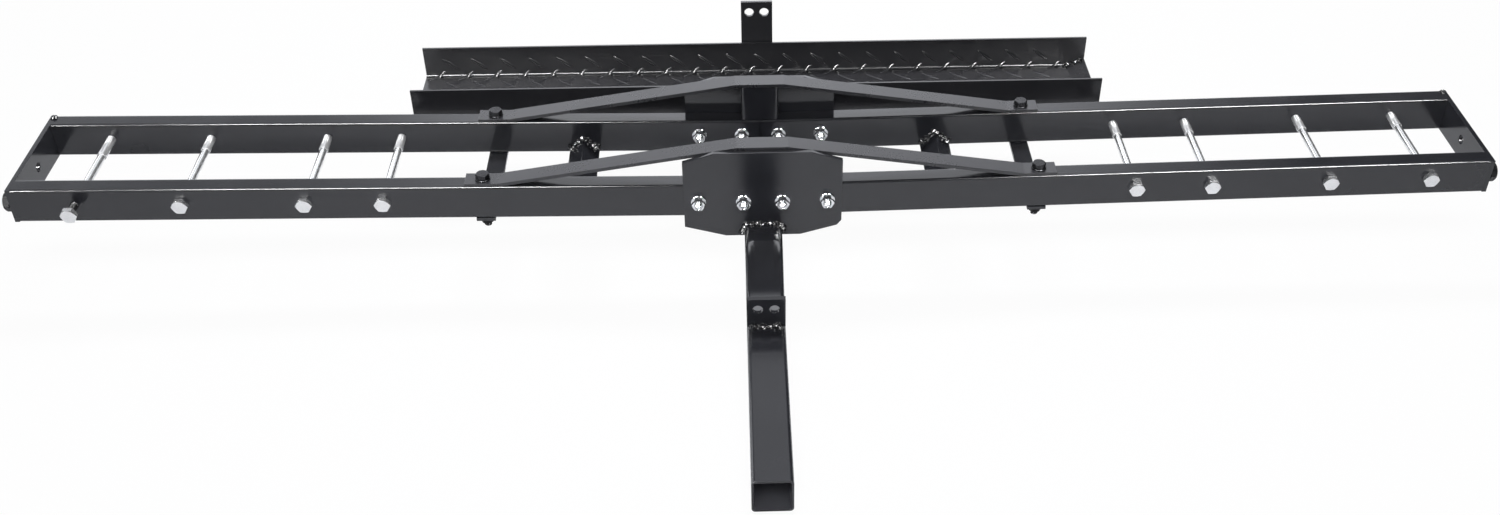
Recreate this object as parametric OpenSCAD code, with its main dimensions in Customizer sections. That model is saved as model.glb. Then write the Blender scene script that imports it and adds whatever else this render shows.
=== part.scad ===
// Hitch motorcycle carrier: a two-rail wheel track on a bent receiver tube, with a loading ramp.
// Lengths in millimetres. +X runs along the rails, +Y away from the vehicle, +Z up.
// The origin is the centre of the hitch pin hole in the shank.

/* [Rails] */
// Length of each rail half
rail_len = 975; // [700:5:1100]
// Width of the rail tube, front to back
rail_w = 25; // [22:1:40]
// Height of the rail tube
rail_h = 50; // [44:1:60]
// Wall of the rail tube
rail_wall = 2; // [1.5:0.1:2.8]
// Outer corner radius of the rail tube
rail_r = 3; // [2.9:0.1:4]
// Free width between the two rails, where the tyres stand
track_gap = 130; // [110:1:170]
// Gap between the two halves of a rail, measured at their top
seam_gap = 1; // [0.5:0.1:3]
// Rise of each rail half towards its outer end, in degrees
camber = 0.86; // [0:0.01:1.5]

/* [End plates] */
// Thickness of an end plate
end_t = 6; // [3:0.5:8]
// Hole in the middle of an end plate
end_hole_d = 13; // [8:0.5:24]
// Thread diameter of an end bolt
end_bolt_d = 16; // [10:0.5:16]
// Size of an end bolt's head across its flats
end_head_af = 24; // [18:1:24]
// Height of an end bolt's head
end_head_h = 9; // [5:0.5:12]
// Length of the threaded block inside a rail end
plug_len = 40; // [25:1:60]
// Play between a threaded block and the rail's inner walls
plug_play = 0.4; // [0.4:0.05:0.8]
// Distance from an end bolt's tip to the inner end of its threaded block
end_bolt_short = 8; // [1:0.5:12]

/* [Rungs] */
// Distance of the outermost rung from the rail's end
rung_end = 77; // [72:1:110]
// Distance from the outermost rung to the next one
rung_gap_1 = 136; // [60:1:150]
// Distance from the second rung to the third one
rung_gap_2 = 160; // [60:1:175]
// Distance from the third rung to the innermost one
rung_gap_3 = 102; // [60:1:115]
// Depth of the rungs below the top of the rails
rung_drop = 24; // [20:0.5:28]
// Diameter of a rung bolt
rung_d = 10; // [8:0.5:11]
// Size of a rung bolt's head across its flats
rung_head_af = 19; // [15:0.5:22]
// Height of a rung bolt's head
rung_head_h = 7.5; // [5:0.5:10]
// Distance from a rung bolt's tip to the back of the rear rail
rung_short = 12; // [2:0.5:16]
// Distance that the outermost left rung bolt is screwed out
loose_out = 18; // [0:1:18]
// Diameter of a sleeve nut
sleeve_d = 12.5; // [12:0.5:16]
// Length of a sleeve nut in front of the rear rail
sleeve_out = 30; // [15:1:45]
// Extra length of the sleeve nut that holds the screwed out bolt
loose_sleeve = 12; // [0:1:18]
// Size of a sleeve nut's head across its flats
sleeve_head_af = 19; // [18:0.5:22]
// Height of a sleeve nut's head
sleeve_head_h = 5; // [3:0.5:7]

/* [Cross angles] */
// Distance of a cross angle from the centre
angle_x = 247; // [150:1:320]
// Leg of a cross angle
angle_leg = 30; // [20:1:30]
// Thickness of a cross angle
angle_t = 3; // [2:0.5:5]
// Depth of a cross angle's ridge below the top of the rails
angle_drop = 26; // [12:0.5:26]

/* [Centre plates] */
// Width of a centre plate
plate_w = 210; // [200:1:260]
// Width of a centre plate's top edge
plate_top_w = 127; // [90:1:150]
// Width of a centre plate's bottom edge
plate_bottom_w = 100; // [80:1:150]
// Thickness of a centre plate
plate_t = 6; // [4:0.5:8]
// Height of a centre plate's top edge above the rails
plate_top = 55; // [50:0.5:58]
// Height of a centre plate's shoulders above the rails
plate_shoulder = 41; // [20:0.5:48]
// Depth of a centre plate's lower corners below the top of the rails
plate_corner = 62; // [54:0.5:68]
// Size of the cut at the lower right corner of the front centre plate
plate_nip = 6; // [0:0.5:12]
// Depth of a centre plate's bottom edge below the top of the rails
plate_bottom = 78; // [72:0.5:90]
// Play round the tube in the notch of a centre plate
notch_play = 0.5; // [0.2:0.1:1]

/* [Plate bolts] */
// Distance of the inner plate bolts from the centre
plate_bolt_1 = 25.5; // [20:0.5:34]
// Distance of the outer plate bolts from the centre
plate_bolt_2 = 85; // [60:0.5:88]
// Depth of the plate bolts below the top of the rails
plate_bolt_drop = 22; // [16:0.5:30]

/* [Small fasteners] */
// Thread diameter of the plate bolts and of the strap bolts
bolt_d = 10; // [8:0.5:10]
// Size of their heads and nuts across the flats
bolt_af = 16; // [15:0.5:17]
// Height of their heads
bolt_head_h = 6.4; // [5:0.1:7]
// Height of their nuts
nut_h = 8; // [6:0.1:10]
// Outer diameter of their washers
washer_d = 20; // [18:0.5:22]
// Thickness of their washers
washer_t = 2; // [1:0.1:2.5]
// Length of thread that stands out of a nut
bolt_out = 6; // [2:0.5:10]
// Extra diameter of a hole for a bolt
hole_play = 1; // [0.6:0.1:1.4]
// Extra diameter of a thread hole
thread_play = 0.4; // [0.2:0.1:0.6]

/* [Hitch tube] */
// Width and height of the square tube
tube_w = 50; // [40:0.1:51]
// Wall of the square tube
tube_wall = 3; // [2:0.1:4]
// Outer corner radius of the square tube
tube_r = 5; // [4.5:0.1:8]
// Number of flats round each corner of the tube
corner_steps = 4; // [2:1:6]
// Gap between the rails and the tube under them
tube_gap = 10; // [4:0.5:12]
// Rise of the tube from the shank to the rails
tube_rise = 58; // [40:1:90]
// Angle of the sloping part of the tube
bend_a = 35; // [28:1:45]
// Bend radius of the tube, measured at its centre line
bend_r = 70; // [55:1:75]
// Number of flats round each bend of the tube
bend_steps = 8; // [4:1:16]
// Distance from the upper bend to the front centre plate
bend_gap = 4; // [1:0.5:10]
// Distance from the hitch pin to the open end of the shank
shank_tip = 66; // [50:1:100]
// Diameter of the hitch pin hole
pin_d = 16.5; // [13:0.1:17]
// Length of the tube behind the rear centre plate
tube_tail = 10; // [0:1:12]
// Distance from the hitch pin to the front of the front rail
rail_y = 358; // [340:1:450]

/* [Anti tilt tab] */
// Distance from the hitch pin to the front of the tab
tab_y = 208; // [120:1:208]
// Height of the tab
tab_h = 46; // [40:1:60]
// Thickness of the tab
tab_t = 6; // [4:0.5:8]
// Diameter of the two holes in the tab
tab_hole_d = 13; // [8:0.5:15]
// Distance between the two holes in the tab
tab_hole_gap = 21.5; // [18:0.5:26]
// Height of the two holes above the shank
tab_hole_up = 29; // [20:0.5:32]

/* [Truss straps] */
// Width of a strap
strap_w = 25; // [20:0.5:25]
// Thickness of a strap
strap_t = 5; // [3:0.5:6]
// Distance of a strap bolt from the centre
strap_bolt = 368; // [300:1:400]
// Distance from a strap bolt to the strap's end
strap_edge = 23; // [14:0.5:40]
// Distance from a strap bolt to the place where the strap leaves the rail
strap_pad = 20; // [16:0.5:40]
// Half of a strap's level middle
strap_flat = 33; // [28:1:45]
// Height of the posts under the straps
post_h = 54; // [40:0.5:60]
// Width of a post
post_w = 52; // [40:1:56]
// Depth of a post, front to back
post_d = 20; // [16:0.5:22]
// Wall of a post
post_wall = 3; // [2:0.5:4]
// Outer corner radius of a post
post_r = 5; // [4.5:0.1:6]
// Thickness of a cross strap
cross_t = 5; // [3:0.5:6]

/* [Ramp] */
// Length of the ramp
ramp_len = 988; // [800:1:1000]
// Outside width of the ramp
ramp_w = 121; // [100:1:140]
// Outside height of the ramp
ramp_h = 50; // [32:0.5:60]
// Thickness of the ramp's sheet
ramp_t = 3; // [2:0.5:4]
// Outer radius of the ramp's folds
ramp_r = 6.8; // [4.5:0.1:7]
// Length of the ramp's floor that turns up at its right end
lip_len = 26; // [20:1:50]
// Angle at which that end turns up
lip_a = 22; // [5:1:28]
// Gap between the rear centre plate and the ramp
ramp_gap = 33.5; // [10:0.5:40]
// Gap between the ramp and the upright leg behind it
stand_gap = 4; // [2:0.5:8]
// Width of the ramp bracket's flat bar
stand_w = 46; // [36:1:60]
// Thickness of the ramp bracket's flat bar
stand_t = 5; // [3:0.5:8]
// Gap between the ramp bracket and the bolt heads above it
stand_clear = 0.8; // [0.6:0.1:4]
// Inner bend radius of the ramp bracket
stand_r = 3; // [1:0.5:3]
// Height of the upright leg above the rails
stand_top = 84; // [60:0.5:120]
// Diameter of the two holes in the upright leg
stand_hole_d = 13.5; // [8:0.5:15]
// Distance between the two holes in the upright leg
stand_hole_gap = 22; // [17:0.5:24]
// Depth of the two holes below the top of the upright leg
stand_hole_down = 17; // [12:0.5:30]

/* [Hidden] */
$fn = 64;
cut = 1;
strap_end = strap_bolt + strap_edge;
strap_bend = strap_bolt - strap_pad;
rung_4 = rail_len - rung_end;
rung_3 = rung_4 - rung_gap_1;
rung_2 = rung_3 - rung_gap_2;
rung_1 = rung_2 - rung_gap_3;
rungs = [for (x = [rung_1, rung_2, rung_3, rung_4]) if (x > strap_end + sleeve_d) x];
plate_bolt_x = [plate_bolt_1, plate_bolt_2];
rail_gap_y = rail_w + track_gap;
track_w = rail_gap_y + rail_w;
rail_ys = [0, rail_gap_y];
rail_top = tube_w / 2 + tube_rise + tube_gap + rail_h;
post_base = post_w / 2 * sin(camber) + 0.01;
bend_end = rail_y - plate_t - bend_gap;
slope_len = (tube_rise - 2 * bend_r * (1 - cos(bend_a))) / sin(bend_a);
bend_start = bend_end - 2 * bend_r * sin(bend_a) - slope_len * cos(bend_a);
tube_end = rail_y + track_w + plate_t + tube_tail;
ramp_y = rail_y + track_w + plate_t + ramp_gap;
ramp_z = rail_top - plate_bolt_drop - bolt_af / 2 - stand_clear;
stand_y = ramp_y + ramp_w + stand_gap;

// A point of a rail half's side view, turned by the camber.
function tilt(x, z) = [x * cos(camber) - z * sin(camber), x * sin(camber) + z * cos(camber)];

// The outer point of a bend in a flat bar of thickness t, between two unit normals.
function mitre(p, a, b, t) = p + t * (a + b) / (1 + a * b);

// The same points on the other side of the centre.
function flip(points) = [for (p = points) [-p[0], p[1]]];

// The list in reverse order.
function back(list) = [for (i = [len(list) - 1 : -1 : 0]) list[i]];

// Places a piece of the right (1) or left (-1) half: x outwards, y from the front rail's front
// face, z from the top of the rails.
module half(side) {
    if (side > 0) {
        translate([0, rail_y, rail_top]) rotate([0, -camber, 0]) children();
    } else {
        mirror([1, 0, 0]) translate([0, rail_y, rail_top]) rotate([0, -camber, 0]) children();
    }
}

// Rectangle with round corners, its middle at the origin.
module round_rect(w, h, r) {
    square([w - 2 * r, h], center = true);
    square([w, h - 2 * r], center = true);
    for (x = [-1, 1], y = [-1, 1]) {
        translate([x * (w / 2 - r), y * (h / 2 - r)]) circle(r);
    }
}

// Section of a tube with round corners.
module tube_section(w, h, r, wall) {
    difference() {
        round_rect(w, h, r);
        round_rect(w - 2 * wall, h - 2 * wall, r - wall);
    }
}

// Cylinder along +Y.
module rod_y(d, length) {
    rotate([-90, 0, 0]) cylinder(d = d, h = length);
}

// Hexagon along +Y, given across its flats.
module hex_y(af, h) {
    rotate([-90, 0, 0]) cylinder(d = af / cos(30), h = h, $fn = 6);
}

// Half of a rail: side and distance of its front face from the front rail's front face.
module rail_half(side, y) {
    half(side) difference() {
        translate([seam_gap / 2, y + rail_w / 2, -rail_h / 2]) rotate([90, 0, 90])
            linear_extrude(rail_len - seam_gap / 2) tube_section(rail_w, rail_h, rail_r, rail_wall);
        for (x = rungs) {
            translate([x, y - cut, -rung_drop])
                rod_y((y == 0 ? rung_d : sleeve_d) + hole_play, rail_w + 2 * cut);
        }
        for (x = plate_bolt_x) {
            translate([x, y - cut, -plate_bolt_drop]) rod_y(bolt_d + hole_play, rail_w + 2 * cut);
        }
        translate([strap_bolt, y + rail_w / 2, -rail_h - cut])
            cylinder(d = bolt_d + hole_play, h = rail_h + 2 * cut);
    }
}

module front_rail_left() {
    color([0.1, 0.1, 0.11]) rail_half(-1, 0);
}

module front_rail_right() {
    color([0.1, 0.1, 0.11]) rail_half(1, 0);
}

module rear_rail_left() {
    color([0.1, 0.1, 0.11]) rail_half(-1, rail_gap_y);
}

module rear_rail_right() {
    color([0.1, 0.1, 0.11]) rail_half(1, rail_gap_y);
}

// Plate over both rail ends of one side.
module end_plate(side) {
    half(side) difference() {
        translate([rail_len, 0, -rail_h]) cube([end_t, track_w, rail_h]);
        translate([rail_len - cut, track_w / 2, -rail_h / 2]) rotate([0, 90, 0])
            cylinder(d = end_hole_d, h = end_t + 2 * cut);
        for (y = rail_ys) {
            translate([rail_len - cut, y + rail_w / 2, -rail_h / 2]) rotate([0, 90, 0])
                cylinder(d = end_bolt_d + hole_play, h = end_t + 2 * cut);
        }
    }
}

module end_plate_left() {
    color([0.1, 0.1, 0.11]) end_plate(-1);
}

module end_plate_right() {
    color([0.1, 0.1, 0.11]) end_plate(1);
}

module end_bolts() {
    reach = end_t + plug_len - end_bolt_short;
    color([0.06, 0.06, 0.065]) for (side = [-1, 1], y = rail_ys) {
        half(side) translate([rail_len + end_t, y + rail_w / 2, -rail_h / 2]) rotate([0, 90, 0]) {
            rotate([0, 0, 30]) cylinder(d = end_head_af / cos(30), h = end_head_h, $fn = 6);
            translate([0, 0, -reach]) cylinder(d = end_bolt_d, h = reach);
        }
    }
}

module rail_end_plugs() {
    color([0.3, 0.3, 0.3]) for (side = [-1, 1], y = rail_ys) {
        half(side) difference() {
            translate([rail_len - plug_len, y + rail_wall + plug_play, rail_wall + plug_play - rail_h])
                cube([plug_len, rail_w - 2 * (rail_wall + plug_play), rail_h - 2 * (rail_wall + plug_play)]);
            translate([rail_len - plug_len - cut, y + rail_w / 2, -rail_h / 2]) rotate([0, 90, 0])
                cylinder(d = end_bolt_d + thread_play, h = plug_len + 2 * cut);
        }
    }
}

// Angle bar between the rails, ridge up.
module cross_angle(side) {
    a = angle_leg / sqrt(2);
    t = angle_t / sqrt(2);
    half(side) translate([angle_x, rail_gap_y, -angle_drop]) rotate([90, 0, 0])
        linear_extrude(track_gap) polygon([[0, 0], [a, -a], [a - t, -a - t], [0, -2 * t], [t - a, -a - t], [-a, -a]]);
}

module cross_angle_left() {
    color([0.1, 0.1, 0.11]) cross_angle(-1);
}

module cross_angle_right() {
    color([0.1, 0.1, 0.11]) cross_angle(1);
}

// Shaped splice plate with its front face at y, measured from the front rail's front face, and a cut
// of size nip at its lower right corner.
module center_plate(y, nip) {
    n = tube_w / 2 + notch_play;
    n_top = notch_play - rail_h - tube_gap;
    fall = (plate_bottom - plate_corner) / (plate_w / 2 - plate_bottom_w / 2);
    top = [[plate_top_w / 2, plate_top], [plate_w / 2, plate_shoulder]];
    corner = [[plate_w / 2, -plate_corner]];
    nipped = [[plate_w / 2, nip - plate_corner], [plate_w / 2 - nip, -plate_corner - nip * fall]];
    low = [[plate_bottom_w / 2, -plate_bottom], [n, -plate_bottom], [n, n_top]];
    right = concat(top, nip > 0 ? nipped : corner, low);
    left = flip(concat(top, corner, low));
    difference() {
        translate([0, rail_y + y + plate_t, rail_top]) rotate([90, 0, 0])
            linear_extrude(plate_t) polygon(concat(right, back(left)));
        for (side = [-1, 1], x = plate_bolt_x) {
            half(side) translate([x, y - cut, -plate_bolt_drop]) rod_y(bolt_d + hole_play, plate_t + 2 * cut);
        }
    }
}

module front_center_plate() {
    color([0.1, 0.1, 0.11]) center_plate(-plate_t, plate_nip);
}

module rear_center_plate() {
    color([0.1, 0.1, 0.11]) center_plate(track_w, 0);
}

// Places one piece at each plate bolt, at the face on which its nut bears.
module at_plate_bolts() {
    for (side = [-1, 1], x = plate_bolt_x, y = [-plate_t, rail_gap_y]) {
        half(side) translate([x, y, -plate_bolt_drop]) children();
    }
}

module plate_bolts() {
    grip = rail_w + plate_t;
    out = washer_t + nut_h + bolt_out;
    color([0.75, 0.75, 0.74]) at_plate_bolts() {
        translate([0, -out, 0]) rod_y(bolt_d, out + grip);
        translate([0, grip, 0]) hex_y(bolt_af, bolt_head_h);
    }
}

module plate_nuts() {
    color([0.75, 0.75, 0.74]) at_plate_bolts() translate([0, -washer_t - nut_h, 0]) difference() {
        hex_y(bolt_af, nut_h);
        translate([0, -cut, 0]) rod_y(bolt_d + thread_play, nut_h + 2 * cut);
    }
}

module plate_washers() {
    color([0.75, 0.75, 0.74]) at_plate_bolts() translate([0, -washer_t, 0]) difference() {
        rod_y(washer_d, washer_t);
        translate([0, -cut, 0]) rod_y(bolt_d + hole_play, washer_t + 2 * cut);
    }
}

// Section of the square tube with round corners, as [across, up] points.
function tube_ring(w, r) = [for (q = [0 : 3], i = [0 : corner_steps])
    let (c = 90 * q + 45, a = 90 * q + 90 * i / corner_steps, m = (w / 2 - r) * sqrt(2))
        [m * cos(c) + r * cos(a), m * sin(c) + r * sin(a)]];

// Stations along the tube's centre line, as [y, z, slope].
function tube_stations(over) = concat(
    [[-shank_tip - over, 0, 0]],
    [for (i = [0 : bend_steps]) let (a = bend_a * i / bend_steps)
        [bend_start + bend_r * sin(a), bend_r * (1 - cos(a)), a]],
    [for (i = [0 : bend_steps]) let (a = bend_a * (1 - i / bend_steps))
        [bend_end - bend_r * sin(a), tube_rise - bend_r * (1 - cos(a)), a]],
    [[tube_end + over, tube_rise, 0]]);

// The bent tube's outside or inside: a round-cornered square of side w swept along the stations.
module tube_sweep(w, r, over) {
    ring = tube_ring(w, r);
    stations = tube_stations(over);
    n = len(ring);
    last = len(stations) - 1;
    points = [for (t = stations, p = ring) [p[0], t[0] - p[1] * sin(t[2]), t[1] + p[1] * cos(t[2])]];
    sides = [for (j = [0 : last - 1], i = [0 : n - 1])
        [j * n + i, j * n + (i + 1) % n, (j + 1) * n + (i + 1) % n, (j + 1) * n + i]];
    ends = [[for (i = [n - 1 : -1 : 0]) i], [for (i = [0 : n - 1]) last * n + i]];
    polyhedron(points, concat(sides, ends));
}

module hitch_tube() {
    color([0.1, 0.1, 0.11]) difference() {
        tube_sweep(tube_w, tube_r, 0);
        tube_sweep(tube_w - 2 * tube_wall, tube_r - tube_wall, cut);
        translate([-tube_w, 0, 0]) rotate([0, 90, 0]) cylinder(d = pin_d, h = 2 * tube_w);
    }
}

module anti_tilt_tab() {
    color([0.1, 0.1, 0.11]) difference() {
        translate([-tube_w / 2, tab_y, tube_w / 2]) cube([tube_w, tab_t, tab_h]);
        for (x = [-1, 1]) {
            translate([x * tab_hole_gap / 2, tab_y - cut, tube_w / 2 + tab_hole_up])
                rod_y(tab_hole_d, tab_t + 2 * cut);
        }
    }
}

// Flat bar that leaves the rear plate below the ramp and turns up behind it.
module ramp_bracket() {
    y0 = rail_y + track_w + plate_t;
    z1 = rail_top + stand_top;
    r = stand_r + stand_t;
    color([0.1, 0.1, 0.11]) difference() {
        translate([-stand_w / 2, 0, 0]) rotate([90, 0, 90]) linear_extrude(stand_w) {
            translate([y0, ramp_z - stand_t]) square([stand_y - stand_r - y0, stand_t]);
            translate([stand_y, ramp_z + stand_r]) square([stand_t, z1 - ramp_z - stand_r]);
            translate([stand_y - stand_r, ramp_z + stand_r]) difference() {
                circle(r);
                circle(stand_r);
                translate([-2 * r, -2 * r]) square([2 * r, 4 * r]);
                translate([-2 * r, 0]) square([4 * r, 2 * r]);
            }
        }
        for (x = [-1, 1]) {
            translate([x * stand_hole_gap / 2, stand_y - cut, z1 - stand_hole_down])
                rod_y(stand_hole_d, stand_t + 2 * cut);
        }
    }
}

// Flat bar over the seam of the rail whose front face is at y.
module truss_strap(y) {
    top = post_base + post_h;
    p_end = tilt(strap_end, 0);
    p_bend = tilt(strap_bend, 0);
    p_flat = [strap_flat, top];
    slope = atan2(top - p_bend[1], p_bend[0] - strap_flat);
    n_pad = [-sin(camber), cos(camber)];
    n_slope = [sin(slope), cos(slope)];
    low = [p_end, p_bend, p_flat];
    high = [tilt(strap_end, strap_t), mitre(p_bend, n_pad, n_slope, strap_t),
        mitre(p_flat, n_slope, [0, 1], strap_t)];
    difference() {
        translate([0, rail_y + y + (rail_w + strap_w) / 2, rail_top]) rotate([90, 0, 0])
            linear_extrude(strap_w) polygon(concat(low, back(flip(low)), flip(high), back(high)));
        for (side = [-1, 1]) {
            half(side) translate([strap_bolt, y + rail_w / 2, -cut])
                cylinder(d = bolt_d + hole_play, h = strap_t + 2 * cut);
        }
    }
}

module truss_strap_front() {
    color([0.12, 0.12, 0.13]) truss_strap(0);
}

module truss_strap_rear() {
    color([0.12, 0.12, 0.13]) truss_strap(rail_gap_y);
}

// Upright tube that carries the middle of a strap.
module truss_spacer(y) {
    translate([0, rail_y + y + rail_w / 2, rail_top + post_base]) linear_extrude(post_h)
        tube_section(post_w, post_d, post_r, post_wall);
}

module truss_spacer_front() {
    color([0.1, 0.1, 0.11]) truss_spacer(0);
}

module truss_spacer_rear() {
    color([0.1, 0.1, 0.11]) truss_spacer(rail_gap_y);
}

// Places one piece at each strap bolt, on top of the rail.
module at_truss_bolts() {
    for (side = [-1, 1], y = rail_ys) {
        half(side) translate([strap_bolt, y + rail_w / 2, 0]) children();
    }
}

module truss_bolts() {
    low = rail_h + cross_t + nut_h + bolt_out;
    high = strap_t + washer_t;
    color([0.06, 0.06, 0.065]) at_truss_bolts() {
        translate([0, 0, -low]) cylinder(d = bolt_d, h = low + high);
        translate([0, 0, high]) cylinder(d = bolt_af / cos(30), h = bolt_head_h, $fn = 6);
    }
}

module truss_washers() {
    color([0.06, 0.06, 0.065]) at_truss_bolts() translate([0, 0, strap_t]) difference() {
        cylinder(d = washer_d, h = washer_t);
        translate([0, 0, -cut]) cylinder(d = bolt_d + hole_play, h = washer_t + 2 * cut);
    }
}

module truss_nuts() {
    color([0.06, 0.06, 0.065]) at_truss_bolts() translate([0, 0, -rail_h - cross_t - nut_h]) difference() {
        cylinder(d = bolt_af / cos(30), h = nut_h, $fn = 6);
        translate([0, 0, -cut]) cylinder(d = bolt_d + thread_play, h = nut_h + 2 * cut);
    }
}

// Flat bar under both rails on the strap bolts.
module cross_strap(side) {
    half(side) difference() {
        translate([strap_bolt - strap_w / 2, 0, -rail_h - cross_t]) cube([strap_w, track_w, cross_t]);
        for (y = rail_ys) {
            translate([strap_bolt, y + rail_w / 2, -rail_h - cross_t - cut])
                cylinder(d = bolt_d + hole_play, h = cross_t + 2 * cut);
        }
    }
}

module cross_strap_left() {
    color([0.1, 0.1, 0.11]) cross_strap(-1);
}

module cross_strap_right() {
    color([0.1, 0.1, 0.11]) cross_strap(1);
}

module rung_bolts() {
    end = track_w - rung_short;
    color([0.75, 0.75, 0.74]) for (side = [-1, 1], x = rungs) {
        out = (side < 0 && x == rung_4) ? loose_out : 0;
        half(side) translate([x, -out, -rung_drop]) {
            translate([0, -rung_head_h, 0]) hex_y(rung_head_af, rung_head_h);
            rod_y(rung_d, end);
        }
    }
}

module rung_sleeve_nuts() {
    color([0.75, 0.75, 0.74]) for (side = [-1, 1], x = rungs) {
        out = sleeve_out + ((side < 0 && x == rung_4) ? loose_sleeve : 0);
        half(side) translate([x, rail_gap_y - out, -rung_drop]) difference() {
            union() {
                rod_y(sleeve_d, out + rail_w);
                translate([0, out + rail_w, 0]) hex_y(sleeve_head_af, sleeve_head_h);
            }
            translate([0, -cut, 0]) rod_y(rung_d + thread_play, out + rail_w);
        }
    }
}

// Folded channel of tread plate; its floor turns up at the right end.
module loading_ramp() {
    x0 = -ramp_len / 2;
    x1 = ramp_len / 2;
    xb = x1 - lip_len;
    rise = lip_len * tan(lip_a);
    lift = ramp_t / cos(lip_a);
    mid = ramp_w / 2;
    color([0.1, 0.1, 0.11]) translate([0, ramp_y, ramp_z]) {
        translate([x0, 0, 0]) rotate([90, 0, 90]) linear_extrude(xb - x0) difference() {
            union() {
                translate([ramp_r, 0]) square([ramp_w - 2 * ramp_r, ramp_t]);
                for (y = [0, ramp_w - ramp_t]) {
                    translate([y, ramp_r]) square([ramp_t, ramp_h - ramp_r]);
                }
                for (s = [-1, 1]) {
                    translate([mid + s * (mid - ramp_r), ramp_r]) circle(ramp_r);
                }
            }
            for (s = [-1, 1]) {
                translate([mid + s * (mid - ramp_r), ramp_r]) circle(ramp_r - ramp_t);
            }
            translate([ramp_t, ramp_r]) square([ramp_w - 2 * ramp_t, ramp_h]);
            translate([ramp_r, ramp_t]) square([ramp_w - 2 * ramp_r, ramp_h]);
        }
        translate([0, ramp_w, 0]) rotate([90, 0, 0]) linear_extrude(ramp_w)
            polygon([[xb, 0], [x1, rise], [x1, rise + lift], [xb, lift]]);
        for (y = [ramp_t, ramp_w]) {
            translate([0, y, 0]) rotate([90, 0, 0]) linear_extrude(ramp_t)
                polygon([[xb, 0], [x1, rise], [x1, ramp_h], [xb, ramp_h]]);
        }
    }
}

front_rail_left();
front_rail_right();
rear_rail_left();
rear_rail_right();
end_plate_left();
end_plate_right();
end_bolts();
rail_end_plugs();
cross_angle_left();
cross_angle_right();
front_center_plate();
rear_center_plate();
plate_bolts();
plate_nuts();
plate_washers();
hitch_tube();
anti_tilt_tab();
ramp_bracket();
truss_strap_front();
truss_strap_rear();
truss_spacer_front();
truss_spacer_rear();
truss_bolts();
truss_washers();
truss_nuts();
cross_strap_left();
cross_strap_right();
rung_bolts();
rung_sleeve_nuts();
loading_ramp();
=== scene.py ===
import math

import bmesh
import bpy
import numpy as np
from mathutils import Matrix


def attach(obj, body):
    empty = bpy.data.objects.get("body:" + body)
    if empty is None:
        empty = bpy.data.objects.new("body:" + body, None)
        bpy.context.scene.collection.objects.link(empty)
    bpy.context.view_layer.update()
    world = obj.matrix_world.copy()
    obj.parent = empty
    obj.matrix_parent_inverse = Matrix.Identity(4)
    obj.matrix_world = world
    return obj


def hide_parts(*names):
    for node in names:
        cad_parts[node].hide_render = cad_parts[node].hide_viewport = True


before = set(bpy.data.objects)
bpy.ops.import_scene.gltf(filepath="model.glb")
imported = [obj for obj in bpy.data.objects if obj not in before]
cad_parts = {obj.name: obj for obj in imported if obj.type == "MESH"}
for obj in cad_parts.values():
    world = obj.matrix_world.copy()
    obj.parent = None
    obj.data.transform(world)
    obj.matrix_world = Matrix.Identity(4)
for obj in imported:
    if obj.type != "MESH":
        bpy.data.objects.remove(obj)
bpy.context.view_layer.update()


# The hitch tube: a square steel receiver tube with 3 mm wall, bent twice over a press so that the
# shank lies below the rails. Its corners are rolled round, its ends sawn square, one pin hole is
# drilled across the shank, and the whole is black powder coated.

class Shade:
    """One output of a material's node tree; sums and products of it become Math nodes."""

    def __init__(self, tree, socket):
        self.tree = tree
        self.socket = socket

    def put(self, target, value):
        """Links a value that varies to an input, or sets a plain number or colour on it."""
        if isinstance(value, Shade):
            self.tree.links.new(value.socket, target)
        else:
            target.default_value = value

    def node(self, kind, settings, inputs, out=0):
        """Adds a node of that kind: settings first, then its inputs; gives one of its outputs."""
        made = self.tree.nodes.new("ShaderNode" + kind)
        for key, value in settings.items():
            setattr(made, key, value)
        for key, value in inputs.items():
            self.put(made.inputs[key], value)
        return Shade(self.tree, made.outputs[out])

    def math(self, operation, a, b):
        return self.node("Math", {"operation": operation}, {0: a, 1: b})

    def __add__(self, other):
        return self.math("ADD", self, other)

    __radd__ = __add__

    def __sub__(self, other):
        return self.math("SUBTRACT", self, other)

    def __rsub__(self, other):
        return self.math("SUBTRACT", other, self)

    def __mul__(self, other):
        return self.math("MULTIPLY", self, other)

    __rmul__ = __mul__


def finish_start(name):
    """A new material, its surface shader, and the object coordinates to paint it by."""
    made = bpy.data.materials.new(name)
    made.use_nodes = True
    tree = made.node_tree
    shader = tree.nodes["Principled BSDF"]
    place = Shade(tree, tree.nodes.new("ShaderNodeTexCoord").outputs["Object"])
    return made, shader, place


def noise(place, scale, detail):
    """Clouds of that scale over the piece, from 0 to 1."""
    return place.node("TexNoise", {}, {"Vector": place, "Scale": scale, "Detail": detail})


def two_tone(place, share, one, other):
    """One colour that turns into another as the share goes from 0 to 1."""
    return place.node("Mix", {"data_type": "RGBA"}, {0: share, 6: one, 7: other}, 2)


def bumps(place, strength, depth, height):
    """A normal that follows a height, up to a depth in metres."""
    return place.node("Bump", {}, {"Strength": strength, "Distance": depth, "Height": height})


def powder_coat(name, dark, light, gloss, peel):
    """Black powder coat: two near blacks mixed by a slow cloud, gloss that drifts with it, and the
    fine orange peel of melted powder as bump."""
    gloss_drift, peel_depth, lacquer_ior = 0.14, 0.0005, 1.58
    made, shader, place = finish_start(name)
    cloud = noise(place, 11.0, 4.0)
    grain = noise(place, 420.0, 2.0)
    place.put(shader.inputs["Base Color"], two_tone(place, cloud, dark, light))
    place.put(shader.inputs["Roughness"],
              (cloud - 0.5) * gloss_drift + (grain - 0.5) * peel + gloss)
    place.put(shader.inputs["Normal"], bumps(place, peel, peel_depth, grain))
    shader.inputs["IOR"].default_value = lacquer_ior
    return made


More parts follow.
